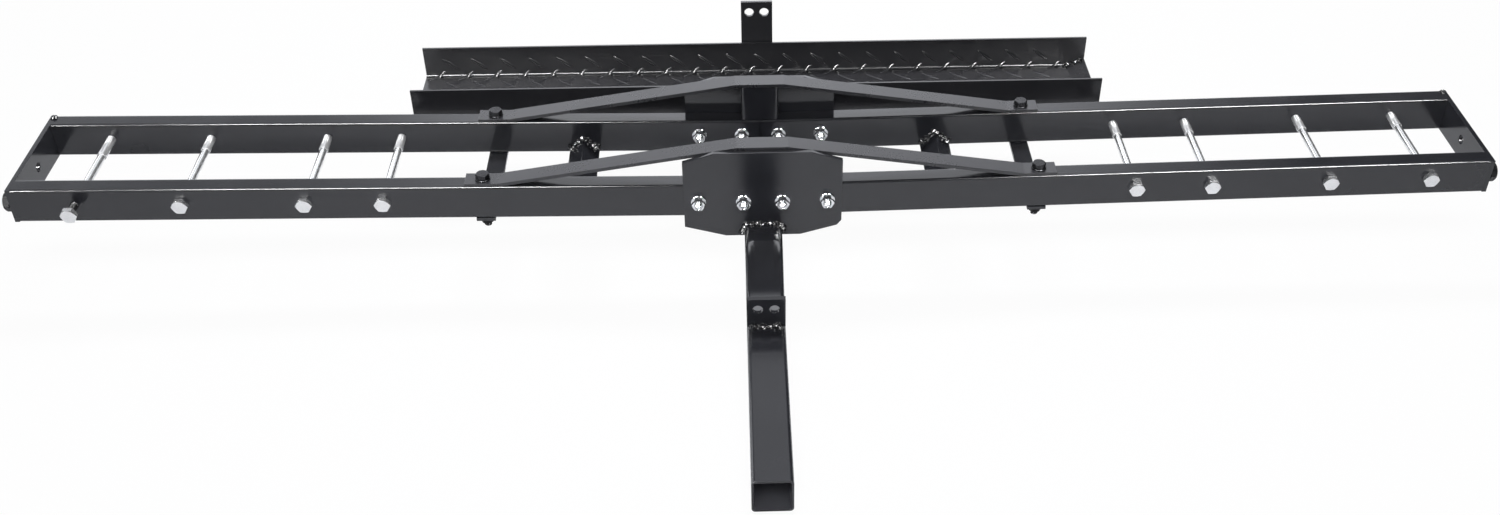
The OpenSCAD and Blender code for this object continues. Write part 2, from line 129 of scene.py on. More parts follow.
def painted_inside_light(made, half, depth):
    """Paints light into a tube along y: a lighter grey within half of the axis, up to a depth, is
    painted light for the light that falls into the open tube."""
    # painted light: this grey stands for light falling into the tube, not for bare steel
    inside_light_grey = (0.085, 0.086, 0.098, 1)
    tree = made.node_tree
    colour = tree.nodes["Principled BSDF"].inputs["Base Color"]
    coat = Shade(tree, colour.links[0].from_socket)
    place = Shade(tree, tree.nodes.new("ShaderNodeTexCoord").outputs["Object"])
    x, y, z = (place.node("SeparateXYZ", {}, {0: place}, k) for k in range(3))
    inside = place.math("LESS_THAN", x * x, half ** 2) \
        * place.math("LESS_THAN", z * z, half ** 2) * place.math("LESS_THAN", y, depth)
    place.put(colour, two_tone(place, inside, coat, inside_light_grey))


def grid(points, loop_rows=False, loop_columns=False):
    """Vertices and quads of points laid out in rows and columns; a looped way joins its last line
    to its first."""
    rows, columns = points.shape[:2]
    i, j = np.meshgrid(np.arange(rows - (not loop_rows)), np.arange(columns - (not loop_columns)),
                       indexing="ij")
    i_next, j_next = (i + 1) % rows, (j + 1) % columns
    quads = np.stack([i * columns + j, i * columns + j_next, i_next * columns + j_next,
                      i_next * columns + j], -1)
    return points.reshape(-1, 3), quads.reshape(-1, 4)


def piece(name, parts, made, body, replaced=(), sharp=32):
    """One mesh object of several grids, doubles merged, faces turned outwards, edges sharper than
    an angle kept crisp."""
    starts = np.cumsum([0] + [len(v) for v, q in parts])
    verts = np.concatenate([v for v, q in parts])
    quads = np.concatenate([q + s for (v, q), s in zip(parts, starts)])
    mesh = bpy.data.meshes.new(name)
    mesh.from_pydata(verts, [], quads)
    work = bmesh.new()
    work.from_mesh(mesh)
    bmesh.ops.remove_doubles(work, verts=work.verts, dist=2e-6)
    bmesh.ops.recalc_face_normals(work, faces=work.faces)
    work.to_mesh(mesh)
    work.free()
    mesh.shade_smooth()
    mesh.set_sharp_from_angle(angle=math.radians(sharp))
    mesh.materials.append(made)
    shown = bpy.data.objects.new(name, mesh)
    bpy.context.scene.collection.objects.link(shown)
    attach(shown, body)
    if replaced:
        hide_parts(*replaced)
    return shown


tube_half, tube_wall, tube_round, tube_edge = 0.025, 0.003, 0.005, 0.0008
tube_rise, bend_angle, bend_radius = 0.058, math.radians(35), 0.070
tube_front, bend_end, tube_back = -0.066, 0.348, 0.554
pin_radius, pin_block = 0.00825, 0.0125
crease, tube_sharp = math.radians(17), 11
bend_rise, bend_run = bend_radius * (1 - math.cos(bend_angle)), bend_radius * math.sin(bend_angle)
slope_length = (tube_rise - 2 * bend_rise) / math.sin(bend_angle)
bend_start = bend_end - 2 * bend_run - slope_length * math.cos(bend_angle)


def tube_section(inset):
    """A square with round corners as across and up: for each row's inset, four quarter circles of
    the radius left over, joined by flats cut into 32 steps."""
    turn = np.linspace(0, math.pi / 2, 11)
    flat = np.linspace(1, -1, 33)[1:-1]
    core = tube_half - tube_round
    radius = (tube_round - inset)[:, None]
    span = (len(inset), len(flat))
    a = np.concatenate([core + radius * np.cos(turn), np.broadcast_to(flat * core, span)], 1)
    b = np.concatenate([core + radius * np.sin(turn), np.broadcast_to(core + radius, span)], 1)
    sides = []
    for quarter in range(4):
        c, s = math.cos(quarter * math.pi / 2), math.sin(quarter * math.pi / 2)
        sides.append(np.stack([c * a - s * b, s * a + c * b], -1))
    return np.concatenate(sides, 1)


def tube_rows():
    """Rows along the tube's centre line as y, z and slope: shank, lower bend, slope, upper bend and
    the level part under the rails."""
    turn = np.sort(np.append(np.linspace(0, bend_angle, 25), crease))
    shank = np.concatenate([[tube_front + tube_edge, -0.045, -0.028],
                            np.linspace(-pin_block, pin_block, 11), [0.03, 0.07, 0.11, 0.15, 0.19]])
    level = np.linspace(bend_end, tube_back - tube_edge, 16)[1:]
    straight = np.linspace(0, 1, 24)[1:-1]
    run, rise = bend_radius * np.sin(turn), bend_radius * (1 - np.cos(turn))
    low = np.stack([bend_start + run, rise, turn])
    high = np.stack([bend_end - run, tube_rise - rise, turn])[:, ::-1]
    slope = low[:, -1:] + (high[:, :1] - low[:, -1:]) * straight
    return np.concatenate([np.stack([shank, 0 * shank, 0 * shank]), low, slope, high,
                           np.stack([level, 0 * level + tube_rise, 0 * level])], 1)


def soft_share(value, start, span):
    """How far a value lies past a start, as a share of a span from 0 to 1 with soft ends: three
    times the share's square less twice its cube."""
    share = np.clip((value - start) / span, 0, 1)
    return share ** 2 * (3 - 2 * share)


def pressed_lift(rows, y, z, slope, across, up):
    """How far the press moves the tube's top up or down. On the upper bend the middle keeps to a
    straight chord up to a crease, which leaves a ridge along both corners; on the lower bend the
    top swells to an arc of a larger radius."""
    chord_start, chord_half, chord_fade = 0.272, 0.0195, 0.0080
    arc_start, arc_radius, swell_start, swell_fade = 0.190, 0.144, 0.214, 0.012
    swell_end, swell_half, swell_side, top_from = 0.2725, 0.0248, 0.0060, 0.0195
    top_y, top_z = rows[0] - tube_half * np.sin(rows[2]), rows[1] + tube_half * np.cos(rows[2])
    here_y, here_z = y - tube_half * np.sin(slope), z + tube_half * np.cos(slope)
    inwards = -np.abs(across)
    chord_y = np.array([chord_start, bend_end - (bend_radius + tube_half) * math.sin(crease)])
    chord = np.interp(here_y, chord_y, np.interp(chord_y, top_y, top_z))
    on_chord = (here_y > chord_y[0]) & (here_y < chord_y[-1])
    sunk = np.where(on_chord, here_z - chord, 0) * soft_share(inwards, -chord_half, chord_fade)
    below = np.sqrt(np.clip(arc_radius ** 2 - (here_y - arc_start) ** 2, 0, None))
    over = np.clip(arc_radius - below + tube_half - here_z, 0, None)
    swell = np.where(here_y < swell_end, over, 0) * soft_share(here_y, swell_start, swell_fade)
    swell = swell * soft_share(inwards, -swell_half, swell_side)
    return (swell - sunk) * (up > top_from)


def pin_hole_rings():
    """For both side walls, four rows that go from a square round the pin hole in to the hole,
    through the wall and out to the square again; each hole point has its square point's angle."""
    low, high = np.linspace(-1, 1, 11)[:-1], np.linspace(-1, 1, 21)[:-1]
    frame_y = np.concatenate([low, 0 * high + 1, -low, 0 * high - 1]) * pin_block
    frame_z = np.concatenate([0 * low - 1, high, 0 * low + 1, -high]) * pin_block
    around = np.arctan2(frame_z, frame_y)
    round_y, round_z = pin_radius * np.cos(around), pin_radius * np.sin(around)
    rings = []
    for side in (-1, 1):
        outer, inner = side * tube_half, side * (tube_half - tube_wall)
        line_x = np.array([outer, outer, inner, inner])[:, None] + 0 * frame_y
        line_y = np.stack([frame_y, round_y, round_y, frame_y])
        line_z = np.stack([frame_z, round_z, round_z, frame_z])
        rings.append(grid(np.stack([line_x, line_y, line_z], -1), False, True))
    return rings


def hitch_tube():
    """The section carried along the centre line, outside there and inside back, closed over the two
    sawn ends by eased edges, pressed at the bends, and open where the pin hole's rings fit in."""
    rows = tube_rows()
    ease = np.linspace(0, math.pi / 2, 10)
    out, back = tube_edge * np.sin(ease), tube_edge * (1 - np.cos(ease))
    lip = np.concatenate([out, out[::-1]])
    end_in = np.concatenate([back, tube_wall - back[::-1]])
    front = np.stack([tube_front + tube_edge - lip, 0 * lip, 0 * lip])
    rear = np.stack([tube_back - tube_edge + lip, 0 * lip + tube_rise, 0 * lip])
    path = np.concatenate([rows, rear, rows[:, ::-1], front[:, ::-1]], 1)
    outside = np.zeros(rows.shape[1])
    inset = np.concatenate([outside, end_in, outside + tube_wall, end_in[::-1]])
    ring = tube_section(inset)
    across, up = ring[..., 0], ring[..., 1]
    y, z, slope = path[0][:, None], path[1][:, None], path[2][:, None]
    lift = pressed_lift(rows, y, z, slope, across, up)
    points = np.stack([across + 0 * y, y - up * np.sin(slope), z + up * np.cos(slope) + lift], -1)
    verts, quads = grid(points, True, True)
    far = np.abs(verts[quads].mean(1))
    on_side = far[:, 0] > tube_half - tube_round
    in_block = on_side & (far[:, 1] < pin_block) & (far[:, 2] < pin_block)
    return [(verts, quads[~in_block])] + pin_hole_rings()


coat_dark, coat_light = (0.0160, 0.0165, 0.0200, 1), (0.0228, 0.0236, 0.0285, 1)
coat_gloss, coat_peel, inside_light_depth = 0.15, 0.06, 0.2
tube_coat = powder_coat("tube_powder_coat", coat_dark, coat_light, coat_gloss, coat_peel)
# painted light: a lighter grey inside the open front of the tube
painted_inside_light(tube_coat, tube_half - tube_wall + 0.0002, inside_light_depth)
piece("receiver_tube", hitch_tube(), tube_coat, "carrier", ["hitch_tube"], tube_sharp)


# The two rails: rectangular steel tube, 25 by 50 mm, each in two halves that meet under the centre
# plates and rise a little outwards. Drilled across for the rungs and bolts, then powder coated.

black_coat = powder_coat("black_powder_coat", coat_dark, coat_light, coat_gloss, coat_peel)
for rail in ("front_rail_left", "front_rail_right", "rear_rail_left", "rear_rail_right"):
    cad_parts[rail].material_slots[0].material = black_coat


# The end plates: flat steel, 6 mm thick, sheared and drilled, that close the track at both ends.
# Their edges are only eased by the coat.

def eased(node, made, width):
    """A solid of the frame with its sharp edges eased: corners merged, flat faces joined, each edge
    over 35 degrees rounded by a small width."""
    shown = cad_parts[node]
    shown.material_slots[0].material = made
    weld = shown.modifiers.new("merge corners", "WELD")
    weld.merge_threshold = 2e-6
    join = shown.modifiers.new("join flats", "DECIMATE")
    join.decimate_type = "DISSOLVE"
    join.angle_limit = math.radians(0.5)
    ease = shown.modifiers.new("ease edges", "BEVEL")
    ease.width = width
    ease.segments = 2
    ease.limit_method = "ANGLE"
    ease.angle_limit = math.radians(35)
    even = shown.modifiers.new("even shading", "WEIGHTED_NORMAL")
    even.keep_sharp = True
    return shown


thin_edge = 0.0006
for plate in ("end_plate_left", "end_plate_right"):
    eased(plate, black_coat, thin_edge)


# The end bolts: black oxide hex bolts, M16 with low heads, screwed into threaded blocks of bare
# steel that sit inside the rail ends.

def black_oxide_steel(name, dark, light, metal):
    """Oiled black oxide: blue black, duller where the oil has dried, with a fine machined grain."""
    oiled, dried, sheen, grain_bump, grain_depth = 0.18, 0.20, 0.12, 0.15, 0.0002
    made, shader, place = finish_start(name)
    dry = noise(place, 160.0, 5.0)
    fine = noise(place, 1500.0, 2.0)
    place.put(shader.inputs["Base Color"], two_tone(place, dry, dark, light))
    place.put(shader.inputs["Roughness"], dry * dried + oiled)
    place.put(shader.inputs["Normal"], bumps(place, grain_bump, grain_depth, fine))
    shader.inputs["Metallic"].default_value = metal
    shader.inputs["Specular IOR Level"].default_value = sheen
    return made


def bare_mill_steel(name):
    """Bare steel with mill scale: warm greys in patches, rougher where they are light."""
    scale_grey, worn_grey, metal = (0.11, 0.11, 0.115, 1), (0.30, 0.29, 0.28, 1), 0.85
    made, shader, place = finish_start(name)
    patch = noise(place, 90.0, 6.0)
    place.put(shader.inputs["Base Color"], two_tone(place, patch, scale_grey, worn_grey))
    place.put(shader.inputs["Roughness"], patch * 0.3 + 0.35)
    shader.inputs["Metallic"].default_value = metal
    return made


rail_front, rail_top, camber = 0.358, 0.143, math.radians(0.86)
rail_wide, rail_high, track_gap, rail_end = 0.025, 0.050, 0.130, 0.975
rear_rail = rail_wide + track_gap
track_wide = rear_rail + rail_wide


def on_half(points, axis, side, x, y, z):
    """Turns points so that their own z lies along axis, and puts them at x outwards, y from the
    front rail's front face and z from the rail's top, on the right or left half with its rise."""
    w = np.array(axis, float)
    u = np.array([0, 1, 0] if axis[0] else [1, 0, 0], float)
    v = np.cross(w, u)
    p = points @ np.stack([u, v, w]) + np.array([x, y, z])
    c, s = math.cos(camber), math.sin(camber)
    return np.stack([side * (p[..., 0] * c - p[..., 2] * s), rail_front + p[..., 1],
                     rail_top + p[..., 0] * s + p[..., 2] * c], -1)


def fitted(points, axis, spot, ring=False):
    """The faces of a shape turned along axis and put on its spot; a ring joins its last row to its
    first."""
    return grid(on_half(points, axis, *spot), ring, True)


def turned(profile, columns=32):
    """A profile of radius and height turned round the z axis."""
    angle = np.linspace(0, 2 * math.pi, columns, endpoint=False)
    r, h = (side[:, None] for side in np.array(profile, float).T)
    return np.stack([r * np.cos(angle), r * np.sin(angle), h + 0 * angle], -1)


def hexed(flats, height, bore=0.0, columns=48):
    """A hexagon along z, its corners cut by a cone at both ends: the side's distance is half the
    flats over the cosine of the angle from the nearest flat's middle. With a bore it is a nut."""
    face_share, cone_slope, countersink = 0.95, math.tan(math.radians(30)), 0.12
    angle = np.linspace(0, 2 * math.pi, columns, endpoint=False)
    side = flats / 2 / np.cos(angle % (math.pi / 3) - math.pi / 6)
    ring = np.full(columns, flats / 2 * face_share)
    cone = (side - ring) * cone_slope
    hole = np.full(columns, bore)
    radius = np.stack([hole, ring, side, side, ring, hole * (1 + countersink), hole])
    level = np.stack([0 * cone, 0 * cone, cone, height - cone, 0 * cone + height,
                      0 * cone + height, 0 * cone + height - bore * countersink])
    return np.stack([radius * np.cos(angle), radius * np.sin(angle), level], -1)


end_flats, end_head, end_plate_thick, fastener_sharp = 0.024, 0.009, 0.006, 24
end_round, end_long, end_taper, end_point = 0.008, 0.037, 0.0012, 0.0015
end_shank = turned([(0, -end_long), (end_round - end_taper, -end_long),
                    (end_round, end_point - end_long), (end_round, 0), (0, 0)])
end_parts = []
for side in (-1, 1):
    for rail_y in (0, rear_rail):
        spot = (side, rail_end + end_plate_thick, rail_y + rail_wide / 2, -rail_high / 2)
        end_parts.append(fitted(hexed(end_flats, end_head), (1, 0, 0), spot))
        end_parts.append(fitted(end_shank, (1, 0, 0), spot))
black_oxide = black_oxide_steel("black_oxide_steel", (0.008, 0.008, 0.009, 1),
                                (0.020, 0.020, 0.022, 1), 0.0)
piece("end_bolt_set", end_parts, black_oxide, "carrier", ["end_bolts"],
      fastener_sharp)
plug_edge = 0.0005
eased("rail_end_plugs", bare_mill_steel("bare_mill_steel"), plug_edge)


# The cross angles: 30 mm angle iron, ridge up, cut to the track's width and welded between the
# rails by a short lumpy bead round each end, coated with the rest.

def weld_bead(path, outward, radius, ripple, seed):
    """A weld bead: a half sunk round section carried along a path, its radius swelling once each
    ripple, wandering by slow sines and lumpy by crossed waves round the section, with a
    bigger lump at each end before it closes."""
    low, crest, wander, drift = 0.68, 0.34, 0.15, 0.10
    lumpy, end_lump, end_taper = 0.24, 0.40, 0.8
    path, outward = np.array(path, float), np.array(outward, float)
    leg = np.linalg.norm(np.diff(path, axis=0), axis=1)
    along = np.concatenate([[0], np.cumsum(leg)])
    total = along[-1]
    s = np.linspace(0, total, max(16, int(total / ripple * 8)))
    line = np.stack([np.interp(s, along, path[:, k]) for k in range(3)], -1)
    out = np.stack([np.interp(s, along, outward[:, k]) for k in range(3)], -1)
    tangent = np.gradient(line, axis=0)
    tangent /= np.linalg.norm(tangent, axis=1)[:, None]
    out -= (out * tangent).sum(1)[:, None] * tangent
    out /= np.linalg.norm(out, axis=1)[:, None]
    cross = np.cross(tangent, out)
    step = (s / ripple)[:, None]
    angle = np.linspace(0, 2 * math.pi, 14, endpoint=False)
    swell = low + crest * np.abs(np.sin(math.pi * step + seed)) \
        + wander * np.sin(2.7 * step + 2.1 * seed) + drift * np.sin(1.1 * step + seed)
    lump = 1 + lumpy * np.sin(3 * angle + 4.1 * step + seed) \
        * np.sin(2 * angle - 2.3 * step + 1.3 * seed)
    close = np.minimum(s, total - s)[:, None]
    swell += end_lump * np.exp(-(close / radius - 1) ** 2)
    taper = np.clip(close / (end_taper * radius), 0, 1) ** 0.5
    r = (radius * swell * lump * taper)[..., None]
    c, s = np.cos(angle)[:, None], np.sin(angle)[:, None]
    return grid(line[:, None] + r * (c * out[:, None] + s * cross[:, None]), False, True)


weld_coat = powder_coat("coated_weld", (0.012, 0.012, 0.013, 1), (0.022, 0.022, 0.024, 1),
                        0.11, 0.20)


def welds(name, beads, body="carrier"):
    """A set of beads as one coated piece, smooth over its ripples."""
    return piece(name, beads, weld_coat, body, sharp=50)


rolled_edge = 0.0007
for angle_bar in ("cross_angle_left", "cross_angle_right"):
    eased(angle_bar, black_coat, rolled_edge)
angle_x, angle_drop, angle_reach = 0.247, 0.026, 0.030 / math.sqrt(2)
angle_bead, angle_ripple = 0.0048, 0.0068
share = np.array([-1, -0.5, 0, 0.5, 1])
ridge = angle_reach * np.stack([share, 0 * share, -np.abs(share)], -1)
angle_welds = []
for side in (-1, 1):
    for y, facing, seed in ((rear_rail, -1.0, 0.3), (rail_wide, 1.0, 1.9)):
        spots = on_half(ridge, (0, 0, 1), side, angle_x, y, -angle_drop)
        away = np.array([[side * out, facing, up]
                         for out, up in ((-1, 1), (-1, 1), (0, 1.4), (1, 1), (1, 1))])
        angle_welds.append(weld_bead(spots, away, angle_bead, angle_ripple, seed + side))
welds("cross_angle_welds", angle_welds)


# The corner welds: short blobs of weld that tie each end plate to the rear rail, at the top of its
# outer corner, coated with the rest.

corner_bead, corner_ripple, corner_sunk = 0.0030, 0.0036, 0.0008
corner_line = np.array([[0, track_wide - 0.001, 0], [0, track_wide - 0.012, 0]])
corner_welds = []
for side in (-1, 1):
    spots = on_half(corner_line, (0, 0, 1), side, rail_end, 0, -corner_sunk)
    away = [[0.3 * side, 0, 1]] * 2
    corner_welds.append(weld_bead(spots, away, corner_bead, corner_ripple, 1.4 + side))
welds("end_corner_welds", corner_welds)


# The centre plates: 6 mm steel cut to shape, one in front of the front rail and one behind the rear
# rail. Each straddles the hitch tube and is welded to it along the notch.

cut_edge = 0.0008
for plate in ("front_center_plate", "rear_center_plate"):
    eased(plate, black_coat, cut_edge)
plate_thick, notch_top, notch_low = 0.006, tube_rise + tube_half, 0.065
plate_back = rail_front + track_wide + plate_thick
notch_round, weld_off, weld_foot, plate_bead = 0.0035, 0.0006, 0.003, 0.0046
over = 1 - notch_round / tube_half
weld_x = np.array([-1, -1, -over, over, 1, 1]) * (tube_half + weld_off)
weld_z = np.array([notch_low + weld_foot, notch_top - notch_round, notch_top + weld_off])
weld_z = np.concatenate([weld_z, weld_z[::-1]])
plate_welds = []
for y, facing in ((rail_front - plate_thick, -1.0), (plate_back, 1.0)):
    spots = np.stack([weld_x, np.full(6, y + facing * weld_off), weld_z], -1)
    away = np.array([[out, facing, up] for out, up in ((-1, 0), (-1, 0), (-0.4, 1), (0.4, 1),
                                                       (1, 0), (1, 0))])
    plate_welds.append(weld_bead(spots, away, plate_bead, plate_bead, 0.7 + facing))
welds("plate_welds", plate_welds)


# The plate bolts: eight zinc plated M10 hex bolts with washers and nuts. In front the nuts show on
# the plate, at the back on the rear rail's inner face; the heads sit behind.

def zinc_plate(name, tint, dull, metal):
    """Bright zinc plate on steel: pale bluish metal, chalky in part, clouded in patches, with a
    fine satin grain."""
    shade, dull_drift, grain_bump, grain_depth = 0.82, 0.16, 0.08, 0.0002
    made, shader, place = finish_start(name)
    cloud = noise(place, 120.0, 4.0)
    grain = noise(place, 2200.0, 2.0)
    darker = tuple(shade * c for c in tint[:3]) + (1,)
    place.put(shader.inputs["Base Color"], two_tone(place, cloud, darker, tint))
    place.put(shader.inputs["Roughness"], (cloud - 0.5) * dull_drift + dull)
    place.put(shader.inputs["Normal"], bumps(place, grain_bump, grain_depth, grain))
    shader.inputs["Metallic"].default_value = metal
    return made


def thread(radius, start, end, pitch, depth, columns=16, steps=6):
    """A screw thread along z: the radius falls by the depth in a triangle wave of height over pitch
    plus angle, once a turn; the two ends close on the axis."""
    steep, crest_flat = 1.3, 0.15
    angle = np.linspace(0, 2 * math.pi, columns, endpoint=False)
    count = max(2, int(abs(end - start) / pitch * steps)) + 1
    height = np.linspace(start, end, count)[:, None]
    wave = np.abs(((height / pitch + angle / (2 * math.pi)) % 1) * 2 - 1)
    r = radius - depth * np.clip(wave * steep - crest_flat, 0, 1)
    body = np.stack([r * np.cos(angle), r * np.sin(angle), height + 0 * angle], -1)
    cap = turned([(0, 0), (radius - depth, 0)], columns)
    return np.concatenate([cap + [0, 0, start], body, cap[::-1] + [0, 0, end]])


def rod(radius, start, end):
    """A plain round bar along z with flat ends."""
    return turned([(0, start), (radius, start), (radius, end), (0, end)])


zinc = zinc_plate("zinc_plate", (0.86, 0.87, 0.88, 1), 0.11, 0.97)
bolt_round, bolt_flats, bolt_head, bolt_pitch, groove = 0.005, 0.016, 0.0064, 0.0015, 0.0008
washer_thick, nut_high, nut_bore = 0.002, 0.008, bolt_round + 0.0002
plate_bolt_x, plate_bolt_drop, bolt_grip, bolt_stand = (0.0255, 0.085), 0.022, 0.032, 0.006
nut_top = washer_thick + nut_high
tip_top = nut_top + bolt_stand
tip = turned([(0, tip_top - 0.0012), (0.0022, tip_top - 0.0009), (0.0030, tip_top - 0.0002),
              (0.0036, tip_top), (0.0042, tip_top - 0.0006), (0.0043, tip_top - 0.002)], 24)
screw = thread(bolt_round, nut_top - 0.001, tip_top - 0.001, bolt_pitch, groove, 24)
nut = hexed(bolt_flats, nut_high, nut_bore)
washer = turned([(0.0055, 0), (0.0097, 0), (0.010, 0.0003), (0.010, 0.0016),
                 (0.0096, washer_thick), (0.0055, washer_thick)], 40)
bolt_parts, nut_parts, washer_parts = [], [], []
for side in (-1, 1):
    for x in plate_bolt_x:
        for y in (-plate_thick, rear_rail):
            spot = (side, x, y, -plate_bolt_drop)
            back = (side, x, y + rail_wide + plate_thick, -plate_bolt_drop)
            for shape in (tip, screw, rod(bolt_round, -bolt_grip, nut_top)):
                bolt_parts.append(fitted(shape, (0, -1, 0), spot))
            bolt_parts.append(fitted(hexed(bolt_flats, bolt_head), (0, 1, 0), back))
            nut_parts.append(fitted(nut + [0, 0, washer_thick], (0, -1, 0), spot, True))
            washer_parts.append(fitted(washer, (0, -1, 0), spot, True))
piece("plate_bolt_set", bolt_parts, zinc, "carrier", ["plate_bolts"], fastener_sharp)
piece("plate_nut_set", nut_parts, zinc, "carrier", ["plate_nuts"], fastener_sharp)
piece("plate_washer_set", washer_parts, zinc, "carrier", ["plate_washers"],
      fastener_sharp)


# The anti tilt tab: a short piece of 6 mm flat bar with two holes, welded upright across the top of
# the shank just before the bend. Its top is sheared, a little lower in front than behind.

tab_front, tab_thick, tab_top, tab_shear, near = 0.208, 0.006, 0.071, 0.0006, 0.0005
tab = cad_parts["anti_tilt_tab"]
lowered = tab.vertex_groups.new(name="top front edge")
lowered.add([v.index for v in tab.data.vertices
             if v.co.z > tab_top - near and v.co.y < tab_front + near], 1.0, "REPLACE")
shear = tab.modifiers.new("sheared top", "DISPLACE")
shear.direction, shear.mid_level, shear.strength = "Z", 0.0, -tab_shear
shear.vertex_group = "top front edge"
eased("anti_tilt_tab", black_coat, cut_edge)
tab_weld_half, tab_weld_out, tab_bead, tab_ripple = 0.0235, 0.001, 0.0054, 0.0029
tab_welds = []
for y, facing, seed in ((tab_front, -1.0, 0.4), (tab_front + tab_thick, 1.0, 2.2)):
    spots = [[x, y + facing * tab_weld_out, tube_half] for x in (-tab_weld_half, 0, tab_weld_half)]
    tab_welds.append(weld_bead(spots, [[0, facing, 1]] * 3, tab_bead, tab_ripple, seed))
welds("tab_welds", tab_welds)


# The ramp bracket: a flat bar bent up once, welded to the back of the rear plate and powder coated.
# The ramp lies on its level arm, in front of the upright leg, which is drilled twice.

bracket_coat = powder_coat("bracket_powder_coat", (0.030, 0.030, 0.034, 1),
                           (0.042, 0.042, 0.047, 1), 0.20, 0.06)
eased("ramp_bracket", bracket_coat, cut_edge)
bracket_low, bracket_half, bracket_bead, bracket_ripple = 0.1060, 0.023, 0.0024, 0.0044
spots = [[x, plate_back + weld_off, bracket_low] for x in (-bracket_half, bracket_half)]
welds("bracket_weld", [weld_bead(spots, [[0, 1, -1]] * 2, bracket_bead, bracket_ripple, 0.9)])


# The truss straps and their posts: flat bar, 25 by 5 mm, bent over the seam of each rail and bolted
# down at both ends, held up in the middle by a short piece of rectangular tube.

strap_coat = powder_coat("strap_powder_coat", (0.020, 0.020, 0.024, 1), (0.030, 0.030, 0.035, 1),
                         0.28, 0.03)
for strap in ("truss_strap_front", "truss_strap_rear"):
    eased(strap, strap_coat, cut_edge)
for post in ("truss_spacer_front", "truss_spacer_rear"):
    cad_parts[post].material_slots[0].material = black_coat


# The truss bolts: black oxide M10 bolts with washers, straight down through strap, rail and cross
# strap, with the nuts below. The heads and washers on top are worn a little bright.

truss_x, strap_thick, cross_thick, truss_stand = 0.368, 0.005, 0.005, 0.006
worn_oxide = black_oxide_steel("worn_black_oxide", (0.024, 0.024, 0.026, 1),
                               (0.065, 0.065, 0.069, 1), 0.85)
seat = strap_thick + washer_thick
low = -rail_high - cross_thick - nut_high
truss_screw = thread(bolt_round - 0.0001, low + 0.001, low - truss_stand, bolt_pitch, groove, 24)
bolt_parts, nut_parts, washer_parts = [], [], []
for side in (-1, 1):
    for rail_y in (0, rear_rail):
        spot = (side, truss_x, rail_y + rail_wide / 2, 0)
        head = hexed(bolt_flats, bolt_head) + [0, 0, seat]
        for shape in (head, rod(bolt_round, seat, low), truss_screw):
            bolt_parts.append(fitted(shape, (0, 0, 1), spot))
        nut_parts.append(fitted(nut + [0, 0, low], (0, 0, 1), spot, True))
        washer_parts.append(fitted(washer + [0, 0, strap_thick], (0, 0, 1), spot, True))
piece("truss_bolt_set", bolt_parts, worn_oxide, "carrier", ["truss_bolts"],
      fastener_sharp)
piece("truss_nut_set", nut_parts, black_oxide, "carrier", ["truss_nuts"],
      fastener_sharp)
piece("truss_washer_set", washer_parts, worn_oxide, "carrier", ["truss_washers"],
      fastener_sharp)


# The cross straps: flat steel bars, 5 mm thick, that lie below the rails on the same bolts and hold
# the two rails together. Cut, drilled and powder coated.

for strap in ("cross_strap_left", "cross_strap_right"):
    eased(strap, black_coat, cut_edge)


# The rungs: eight long zinc plated M10 bolts across the track. Each head bears on the front rail,
# and the thread runs into a round sleeve nut that passes through the rear rail. The outermost one
# on the left is screwed out a little; its bare thread is drawn in black oxide as painted shade.

rung_zinc = zinc_plate("rung_zinc_plate", (0.93, 0.935, 0.94, 1), 0.17, 0.84)
sleeve_zinc = zinc_plate("sleeve_zinc_plate", (0.90, 0.905, 0.91, 1), 0.22, 0.70)
rung_drop, rung_round, rung_flats, rung_head = 0.024, 0.005, 0.019, 0.0075
rung_thread, rung_short, rung_groove = 0.018, 0.012, 0.0006
sleeve_round, sleeve_out, sleeve_more, sleeve_cap = 0.00625, 0.030, 0.012, 0.005
sleeve_bore, loose_x, loose_out, lap = rung_round + 0.0002, 0.898, 0.018, 0.001
rung_x = (0.500, 0.602, 0.762, loose_x)
rung_parts, sleeve_parts = [], []
for side in (-1, 1):
    for x in rung_x:
        loose = side < 0 and x == loose_x
        out = loose_out if loose else 0.0
        head = (side, x, -out, -rung_drop)
        rung_parts.append(fitted(hexed(rung_flats, rung_head), (0, -1, 0), head))
        plain_end = rear_rail + out - rung_thread
        plain = rod(rung_round, out - lap if loose else 0.0, plain_end)
        rung_parts.append(fitted(plain, (0, 1, 0), head))
        rung_end = track_wide - rung_short
        screw = thread(rung_round, plain_end - lap, rung_end, bolt_pitch, rung_groove)
        rung_parts.append(fitted(screw, (0, 1, 0), head))
        if loose:
            # painted shade: the screwed-out zinc thread is drawn black for the shade it lies in
            shaded_thread = thread(rung_round, -lap, out, bolt_pitch, groove, 24)
            piece("loose_rung_thread", [fitted(shaded_thread, (0, 1, 0), head)], black_oxide, "carrier",
                  sharp=fastener_sharp)
        reach = sleeve_out + (sleeve_more if loose else 0.0)
        spot = (side, x, rear_rail - reach, -rung_drop)
        barrel = turned([(sleeve_bore, 0.0003), (sleeve_bore + 0.0003, 0),
                         (sleeve_round - 0.0006, 0), (sleeve_round - 0.0002, 0.0002),
                         (sleeve_round, 0.0008), (sleeve_round, reach + rail_wide),
                         (sleeve_bore, reach + rail_wide)], 40)
        sleeve_parts.append(fitted(barrel, (0, 1, 0), spot, True))
        cap = (side, x, track_wide, -rung_drop)
        sleeve_parts.append(fitted(hexed(rung_flats, sleeve_cap), (0, 1, 0), cap))
piece("rung_bolt_set", rung_parts, rung_zinc, "carrier", ["rung_bolts"],
      fastener_sharp)
piece("rung_sleeve_set", sleeve_parts, sleeve_zinc, "carrier", ["rung_sleeve_nuts"],
      fastener_sharp)


# The loading ramp: one length of 3 mm tread plate folded to a channel, its floor turned up at the
# right end, powder coated. The raised bars of the tread stand on the inside, in rows that lean one
# way and the other, and run on over the folds.

